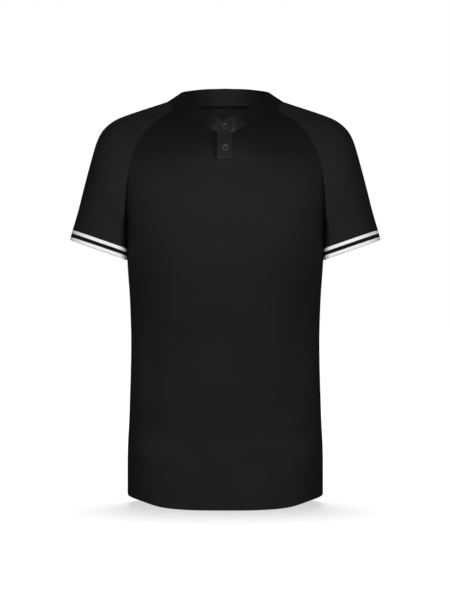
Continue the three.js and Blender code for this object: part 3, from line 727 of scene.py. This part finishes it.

# the sleeves' knit is the body's knit painted lighter, with less gloss: painted light for the brighter tone
# the sleeves catch under the lamps
sleeve_knit_painted_lighter = interlock_knit("black_interlock_knit_sleeve_painted_lighter", "#1c1d1c", "#1f201f", gloss=0.05)
FLIP = np.array([-1, 1, 1])
for side in ("left", "right"):
    outer = sleeve_grid if side == "left" else (sleeve_grid * FLIP)[:, ::-1]
    normals = sleeve_normals if side == "left" else (sleeve_normals * FLIP)[:, ::-1]
    sleeve = cloth_wall(
        "sleeve_" + side + "_cloth", outer, outer - normals * CLOTH, grid_uv(outer),
        [sleeve_knit_painted_lighter, knit_reverse_painted_lighter], wrap=True,
    )
    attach(sleeve, "root")
    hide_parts("sleeve_" + side)

# Cuffs: a narrow band of 1x1 rib at the end of each sleeve, knitted in the tube with a white, a
# black and a white stripe, and overlocked to the sleeve.
CUFF_CLOTH, CUFF_WIDTH, RIB = 2.2, 19.1, 1.3
WHITE_YARN, BLACK_YARN = "#f4f4f3", "#0e100f"
cuff_end = sleeve_ring(SLEEVE[-1])
cuff_start = sleeve_grid[-1]
cuff_gap = -SEAM_OVERLAP / np.linalg.norm(cuff_end - cuff_start, axis=1)
cuff_rows = edged(9)
cuff_shares = cuff_gap + (1 - cuff_gap) * cuff_rows[:, None]
cuff_grid = cuff_start + (cuff_end - cuff_start) * cuff_shares[..., None]
cuff_normals = grid_normals(cuff_grid, wrap=True)
cuff_normals[0] = sleeve_normals[-1]

# 1x1 rib in cotton and polyester, matt and bright: its ribs run along the arm, 1.3 mm apart
cuff_rib, tree = bare_material("striped_cotton_rib")
cut = add_node(tree, "ShaderNodeUVMap", {"uv_map": "cut"})
apart = add_node(tree, "ShaderNodeSeparateXYZ", Vector=cut.outputs[0])
ribs = add_node(
    tree, "ShaderNodeMath", {"operation": "MULTIPLY"}, i0=apart.outputs[0], i1=2 * math.pi / (RIB / 1000),
)
rib = add_node(tree, "ShaderNodeMath", {"operation": "SINE"}, i0=ribs.outputs[0])
height = add_node(tree, "ShaderNodeMath", {"operation": "MULTIPLY"}, i0=apart.outputs[1], i1=1000.0)
share = add_node(tree, "ShaderNodeMapRange", i0=height.outputs[0], i1=0.0, i2=CUFF_WIDTH)
stripes = add_node(tree, "ShaderNodeValToRGB", i0=share.outputs[0])
ramp = stripes.color_ramp
ramp.interpolation = "LINEAR"
for place, shade in ((0.318, WHITE_YARN), (0.33, BLACK_YARN), (0.67, BLACK_YARN), (0.682, WHITE_YARN)):
    stop = ramp.elements.new(place)
    stop.color = linear(shade)
ramp.elements[0].color = linear(WHITE_YARN)
ramp.elements[-1].color = linear(WHITE_YARN)
bump = add_node(tree, "ShaderNodeBump", Strength=0.5, Distance=0.0003, Height=rib.outputs[0])
shader = add_node(
    tree, "ShaderNodeBsdfPrincipled", Base_Color=stripes.outputs[0], Roughness=0.85, IOR=1.5,
    Specular_IOR_Level=0.15, Normal=bump.outputs[0],
)
add_node(tree, "ShaderNodeOutputMaterial", Surface=shader.outputs[0])

for side in ("left", "right"):
    outer = cuff_grid if side == "left" else (cuff_grid * FLIP)[:, ::-1]
    normals = cuff_normals if side == "left" else (cuff_normals * FLIP)[:, ::-1]
    cuff = cloth_wall(
        "cuff_" + side + "_rib", outer, outer - normals * CUFF_CLOTH, grid_uv(outer), [cuff_rib, cuff_rib],
        wrap=True,
    )
    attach(cuff, "root")
    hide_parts("cuff_" + side)

# Neck band: a wide band of the body's knit, folded double at its open edge and sewn round the
# neck. Its two ends meet in front under the placket.
BAND_CLOTH = 2.0
BAND_LEFT, BAND_RIGHT = -1.0, 9.0
first_turn = math.degrees(math.atan2(BAND_RIGHT, NECK[0, 1]))
last_turn = 360 + math.degrees(math.atan2(BAND_LEFT, NECK[0, 1]))
turns = first_turn + (last_turn - first_turn) * edged(190)
turns = np.where(turns > 180, turns - 360, turns)
seam_line, edge_line = neck_seam(turns), neck_edge(turns)
band_gap = -SEAM_OVERLAP / np.linalg.norm(edge_line - seam_line, axis=1)
band_grid = seam_line + (edge_line - seam_line) * (band_gap + (1 - band_gap) * edged(12)[:, None])[..., None]
# in front the open edge stands forward, most on the wearer's left of the opening
stand = 4.5 * np.exp(-(((edge_line[:, 0] - 18) / 24) ** 2))
stand += 2.0 * np.exp(-(((edge_line[:, 0] + 20) / 14) ** 2))
stand = np.where(edge_line[:, 1] < 0, stand, 0)
band_grid[..., 1] -= stand * edged(12)[:, None] ** 0.8 + forward(band_grid)
# the band is the body's knit painted darker, with a tighter gloss of its own: painted shade for the dark
# sides of the neck
band_knit_painted_darker = interlock_knit(
    "black_interlock_knit_band_painted_darker", "#0b0c0b", "#0e0e0e", roughness=0.54, drawn_out=0.0, gloss=0.19,
)
# the inside of the band is painted lighter than its outside: painted light for the shaded inside of the neck
band_inside_painted_lighter = interlock_knit("black_interlock_knit_inside_band_painted_lighter", "#181918", "#1c1d1c")
band_sink = (
    crease(band_grid, [(8, -80), (24, -68), (44, -55)], 11, -2.2)
    + crease(band_grid, [(-16, -76), (-28, -66), (-40, -58)], 8, -1.3)
    + crease(band_grid, [(67, -47), (73, -44), (79, -40)], 4.5, -1.4)
)
band_sink[0] = 0
band_grid = band_grid - grid_normals(band_grid) * band_sink[..., None]
band_normals = grid_normals(band_grid)
band_normals[0] = body_normal(seam_line)
neck_band = cloth_wall(
    "neck_band_cloth", band_grid, band_grid - band_normals * BAND_CLOTH, grid_uv(band_grid)[..., ::-1],
    [band_knit_painted_darker, band_inside_painted_lighter],
)
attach(neck_band, "root")
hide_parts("neck_band")

# Neck tape: a narrow tape of the body's knit that covers the band's seam inside the back of the
# neck, sewn down along both edges. It is declared with the band, as it is too narrow for a sheet.
TAPE_CLOTH, TAPE_ABOVE, TAPE_BELOW = 1.0, 3.9, 1.1
tape_turns = np.linspace(BACK_CORNER, 360 - BACK_CORNER, 90)
tape_turns = np.where(tape_turns > 180, tape_turns - 360, tape_turns)
tape_seam = neck_seam(tape_turns)
tape_normals = body_normal(tape_seam)
towards_edge = unit(neck_edge(tape_turns) - tape_seam)
towards_hem = unit(np.cross(tape_normals, unit(np.gradient(tape_seam, axis=0))))
towards_hem *= np.where(towards_hem[:, 2:] > 0, -1, 1)
tape_rows = np.linspace(-TAPE_BELOW, TAPE_ABOVE, 9)
tape_grid = np.array([tape_seam + (towards_hem if up < 0 else towards_edge) * abs(up) for up in tape_rows])
tape_face = BAND_CLOTH + 0.3
tape = cloth_wall(
    "neck_tape_cloth", tape_grid - tape_normals * tape_face,
    tape_grid - tape_normals * (tape_face + TAPE_CLOTH), grid_uv(tape_grid), [body_knit, body_knit],
)
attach(tape, "root")
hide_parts("neck_tape")

# Placket: an outer strip folded from the body's knit and stitched over the slit, with the
# buttonholes, and an inner strip behind it that carries the buttons. It closes left over right.
PLACKET_CLOTH, PLACKET_GAP = 1.8, 0.45
PLACKET_LEFT, PLACKET_RIGHT, PLACKET_BOTTOM = -14.4, 11.7, -128.6
PLACKET_TOP = np.array([
    (-14.4, -77), (-13.4, -71.5), (-10.5, -66.5), (-6.8, -61), (1.2, -56.2), (11.7, -51.3),
])
UNDER_LEFT, UNDER_RIGHT, UNDER_BOTTOM, UNDER_TOP, UNDER_BEHIND = -15.4, 9.5, -126.0, -66.0, 2.5


def front_cloth(x, z):
    """Points of the front at widths and heights: on the body below the band's seam, on the band above."""
    turn = np.degrees(np.arctan2(x, NECK[0, 1]))
    seam, edge = neck_seam(turn), neck_edge(turn)
    share = (z - seam[..., 2]) / (edge[..., 2] - seam[..., 2])
    on_band = seam[..., 1] + (edge[..., 1] - seam[..., 1]) * share
    y = np.where(z < seam[..., 2], body_at(x, z, -1)[..., 1], on_band)
    cloth = np.stack([x, y, z], axis=-1)
    cloth[..., 1] -= forward(cloth)
    return cloth


def facing_out(x, z):
    """The outward direction of the front cloth at widths and heights."""
    across = front_cloth(x + 1, z) - front_cloth(x - 1, z)
    return unit(np.cross(across, front_cloth(x, z + 1) - front_cloth(x, z - 1)))


def placket_face(x, z):
    """Points of the placket's outer face, which thins out to its stitched right edge, and their normals."""
    base, normals = front_cloth(x, z), facing_out(x, z)
    thin = 0.25 + 0.75 * np.clip((PLACKET_RIGHT - x) / 9, 0, 1)
    pressed = (
        crease(base, [(-4.0, -112), (-1.5, -118), (1.0, -126)], 1.5, 0.95)
        + crease(base, [(3.4, -76.5), (6.5, -79), (9.5, -82)], 2.6, 2.0)
        + crease(base, [(-9, -112), (-7, -117), (-6.5, -124)], 2.4, -0.45)
        + crease(base, [(5, -112), (6, -118), (6.5, -124)], 2.6, -0.45)
    )
    return base + normals * (PLACKET_GAP + PLACKET_CLOTH * thin - pressed * thin)[..., None], normals


def strip_places(left, right, bottom, top_at, columns=26, rows=70):
    """Widths and heights of a strip on the front, from a level bottom up to a top line."""
    x, rise = np.meshgrid(left + (right - left) * edged(columns), edged(rows))
    return x, bottom + (top_at(x) - bottom) * rise


def placket_row(places, **sizes):
    """A row of stitches on the placket's outer face, along widths and heights."""
    line = np.array(places, float)
    along = np.linspace(0, 1, 60)
    at = np.linspace(0, 1, len(line))
    face, normals = placket_face(np.interp(along, at, line[:, 0]), np.interp(along, at, line[:, 1]))
    return stitches(face, normals, **sizes)


outer_x, outer_z = strip_places(
    PLACKET_LEFT, PLACKET_RIGHT, PLACKET_BOTTOM, lambda x: along_table(PLACKET_TOP, 1, x),
)
outer_face, _ = placket_face(outer_x, outer_z)
outer_back = front_cloth(outer_x, outer_z) + facing_out(outer_x, outer_z) * PLACKET_GAP
# the outer strip is the body's knit painted lighter: painted light on the strip
placket_knit_painted_lighter = interlock_knit("black_interlock_knit_placket_painted_lighter", "#1a1b1a", "#1e1f1e")
placket = cloth_wall(
    "placket_cloth", outer_face, outer_back, grid_uv(outer_face), [placket_knit_painted_lighter, placket_knit_painted_lighter],
)
BUTTON_PLACES = {"button_top": (-1.3, -71.0), "button_bottom": (0.2, -109.3)}
HOLE_REACH, HOLE_LIP = 7.4, 0.7  # half the length of a buttonhole, and from its slit to the middle of a side
ROW_LEFT, ROW_RIGHT, ROW_BOTTOM, ROW_ACROSS = -12.6, 9.9, -126.6, -119
placket_rows = [
    placket_row([(ROW_LEFT, -79), (ROW_LEFT, ROW_BOTTOM), (ROW_RIGHT, ROW_BOTTOM), (ROW_RIGHT, -60)]),
    placket_row([(ROW_LEFT, ROW_ACROSS), (ROW_RIGHT, ROW_ACROSS)]),
]
# each buttonhole is a slit oversewn with dense thread, a little longer than the button
for x, z in BUTTON_PLACES.values():
    for beside in (-HOLE_LIP, HOLE_LIP):
        slit = [(x + beside, z - HOLE_REACH), (x + beside, z + HOLE_REACH)]
        placket_rows.append(placket_row(slit, pitch=0.5, length=0.45, radius=0.3))
sewn(placket, placket_rows, thread_black)
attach(placket, "root")
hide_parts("placket")

under_x, under_z = strip_places(UNDER_LEFT, UNDER_RIGHT, UNDER_BOTTOM, lambda x: np.full_like(x, UNDER_TOP))
under_front = front_cloth(under_x, under_z)
under_depth = UNDER_BEHIND + crease(under_front, *PLACKET_DIP)
under_normals = facing_out(under_x, under_z)
under_front = under_front - under_normals * under_depth[..., None]
under = cloth_wall(
    "placket_under_cloth", under_front, under_front - under_normals * CLOTH, grid_uv(under_front),
    [body_knit, knit_reverse_painted_lighter],
)
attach(under, "root")
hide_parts("placket_under")

# Buttons: two small four-hole shirt buttons, turned from dark polyester resin with a raised rim
# and a sunk middle, and sewn through to the inner strip with two crossed turns of black thread.
BUTTON_RADIUS, BUTTON_STAND_OFF = 5.8, 0.5
HOLE_RADIUS, HOLE_OUT, THREAD_HEIGHT = 0.95, 1.75, 1.75
bpy.ops.object.select_all(action="DESELECT")
bpy.ops.mesh.primitive_cylinder_add(
    vertices=64, radius=BUTTON_RADIUS / 1000, depth=0.0022, end_fill_type="NGON", location=(0, 0, 0.0011),
)
blank = bpy.context.active_object
blank.name = "button_blank"
bpy.ops.object.mode_set(mode="EDIT")
bpy.ops.mesh.select_mode(type="FACE")
bpy.ops.mesh.select_all(action="DESELECT")
bpy.ops.object.mode_set(mode="OBJECT")
for face in blank.data.polygons:
    face.select = face.normal.z > 0.9
bpy.ops.object.mode_set(mode="EDIT")
bpy.ops.mesh.inset(thickness=0.0004, depth=0.0004)
bpy.ops.mesh.inset(thickness=0.0011, depth=0.0001)
bpy.ops.mesh.inset(thickness=0.0005, depth=-0.0007)
bpy.ops.mesh.inset(thickness=0.0008, depth=-0.0004)
bpy.ops.object.mode_set(mode="OBJECT")
for quarter in range(4):
    angle = math.radians(45 + 90 * quarter)
    bpy.ops.object.select_all(action="DESELECT")
    bpy.ops.mesh.primitive_cylinder_add(
        vertices=20, radius=HOLE_RADIUS / 1000, depth=0.01,
        location=(HOLE_OUT / 1000 * math.cos(angle), HOLE_OUT / 1000 * math.sin(angle), 0),
    )
    drill = bpy.context.active_object
    bpy.ops.object.select_all(action="DESELECT")
    blank.select_set(True)
    bpy.context.view_layer.objects.active = blank
    bored = blank.modifiers.new("bored", "BOOLEAN")
    bored.operation = "DIFFERENCE"
    bored.object = drill
    bpy.ops.object.modifier_apply(modifier="bored")
    bpy.data.objects.remove(drill)
rounded = blank.modifiers.new("rounded", "BEVEL")
rounded.width = 0.00022
rounded.segments = 3
rounded.limit_method = "ANGLE"
rounded.angle_limit = math.radians(30)
bpy.ops.object.modifier_apply(modifier="rounded")
bpy.ops.object.shade_smooth_by_angle(angle=math.radians(35))

# cast resin: smooth and satin, dark grey with a faint cloud in it
button_resin, tree = bare_material("dark_polyester_resin")
place = add_node(tree, "ShaderNodeTexCoord")
cloudy = add_node(tree, "ShaderNodeTexNoise", Vector=place.outputs["Object"], Scale=420.0, Detail=2.0)
shade = add_node(
    tree, "ShaderNodeMix", {"data_type": "RGBA"}, i0=cloudy.outputs[0],
    i6=linear("#202020"), i7=linear("#282828"),
)
shader = add_node(
    tree, "ShaderNodeBsdfPrincipled", Base_Color=shade.outputs[2], Roughness=0.42, IOR=1.52,
    Specular_IOR_Level=0.35,
)
add_node(tree, "ShaderNodeOutputMaterial", Surface=shader.outputs[0])

for name, (x, z) in BUTTON_PLACES.items():
    x, z = np.array(x), np.array(z)
    outward = facing_out(x, z)
    seat = front_cloth(x, z) + outward * (PLACKET_GAP + PLACKET_CLOTH + BUTTON_STAND_OFF)
    across = unit(front_cloth(x + BUTTON_RADIUS, z) - front_cloth(x - BUTTON_RADIUS, z))
    across = unit(across - outward * (across @ outward))
    up = np.cross(outward, across)
    button = blank.copy()
    button.data = blank.data.copy()
    button.name = button.data.name = name + "_resin"
    bpy.context.scene.collection.objects.link(button)
    turned = np.eye(4)
    turned[:3, 0], turned[:3, 1], turned[:3, 2], turned[:3, 3] = across, up, outward, seat / 1000
    button.data.transform(Matrix(turned.tolist()))
    button.data.materials.append(button_resin)
    strands = []
    for lean in (-1, 1):
        ends = [
            seat + HOLE_OUT * 0.707 * (s * across + s * lean * up) + THREAD_HEIGHT * outward
            for s in (-1.35, 1.35)
        ]
        line = np.linspace(ends[0], ends[1], 12)
        for beside in (-0.34, 0.34):
            side = unit(np.cross(outward, line[-1] - line[0])) * beside
            strand = stitches(line + side, np.tile(outward, (12, 1)), pitch=4.0, length=3.9, radius=0.36)
            strands.append(strand)
    sewn(button, strands, thread_black)
    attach(button, "root")
    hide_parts(name)
bpy.data.objects.remove(blank)

# Studio: a pale floor just under the hem, wide soft lamps all round, and a pale surround. The floor
# has its own soft light from above.
bpy.ops.object.select_all(action="DESELECT")
FLOOR_Z = -0.7387
bpy.ops.mesh.primitive_plane_add(size=40, location=(0, 0, FLOOR_Z))
floor = bpy.context.active_object
floor.name = "floor"
paper, tree = bare_material("white_paper")
shader = add_node(
    tree, "ShaderNodeBsdfPrincipled", Base_Color=linear("#6c6c6c"), Roughness=0.9, Specular_IOR_Level=0.0,
    Emission_Color=(1, 1, 1, 1), Emission_Strength=0.6,
)
add_node(tree, "ShaderNodeOutputMaterial", Surface=shader.outputs[0])
floor.data.materials.append(paper)
floor.visible_diffuse = False
floor.visible_glossy = False

# soft lamps all round, aimed at the chest; those behind give only diffuse light, so that no bright
# rim shows from the front, and one more lights the sheen of the back panel alone
CHEST = Vector((0, 0, -0.3))
back_only = bpy.data.collections.new("back_only")
back_only.objects.link(back_panel)
for name, place, energy in (
    ("key", (0, -2.4, 0.05), 45), ("high", (0, -2.2, 1.6), 7),
    ("left", (1.4, -2.1, 0.1), 3), ("right", (-1.4, -2.1, 0.1), 3),
    ("side_left", (2.4, -1.0, 0.0), 4), ("side_right", (-2.4, -1.0, 0.0), 4),
    ("low_left", (1.7, -2.0, -0.65), 3), ("low_right", (-1.7, -2.0, -0.65), 3),
    ("behind", (0, 2.4, 0.5), 30), ("behind_left", (1.1, 2.3, 0.2), 20),
    ("behind_right", (-1.1, 2.3, 0.2), 20), ("back_sheen", (0, 2.4, 0.25), 36),
):
    lamp_data = bpy.data.lights.new(name, "AREA")
    lamp_data.shape = "DISK"
    lamp_data.size = 1.2
    lamp_data.energy = energy
    lamp = bpy.data.objects.new(name, lamp_data)
    lamp.location = place
    lamp.rotation_euler = (CHEST - Vector(place)).to_track_quat("-Z", "Y").to_euler()
    lamp.visible_glossy = not name.startswith("behind")
    if name == "back_sheen":
        lamp.light_linking.receiver_collection = back_only
    bpy.context.scene.collection.objects.link(lamp)

floor_light_data = bpy.data.lights.new("floor_light", "SUN")
floor_light_data.energy = 9.5
floor_light_data.angle = math.radians(30)
floor_light = bpy.data.objects.new("floor_light", floor_light_data)
floor_light.rotation_euler = (math.radians(-11), 0, 0)
floor_only = bpy.data.collections.new("floor_only")
floor_only.objects.link(floor)
floor_light.light_linking.receiver_collection = floor_only
bpy.context.scene.collection.objects.link(floor_light)

world = bpy.data.worlds.new("studio")
world.use_nodes = True
bpy.context.scene.world = world
tree = world.node_tree
tree.nodes.clear()
seen = add_node(tree, "ShaderNodeLightPath")
pale = add_node(tree, "ShaderNodeBackground", Color=(1, 1, 1, 1), Strength=1.0)
soft = add_node(tree, "ShaderNodeBackground", Color=(1, 1, 1, 1), Strength=0.058)
choice = add_node(tree, "ShaderNodeMixShader", i0=seen.outputs[0], i1=soft.outputs[0], i2=pale.outputs[0])
add_node(tree, "ShaderNodeOutputWorld", Surface=choice.outputs[0])
bpy.context.scene.view_settings.view_transform = "Standard"
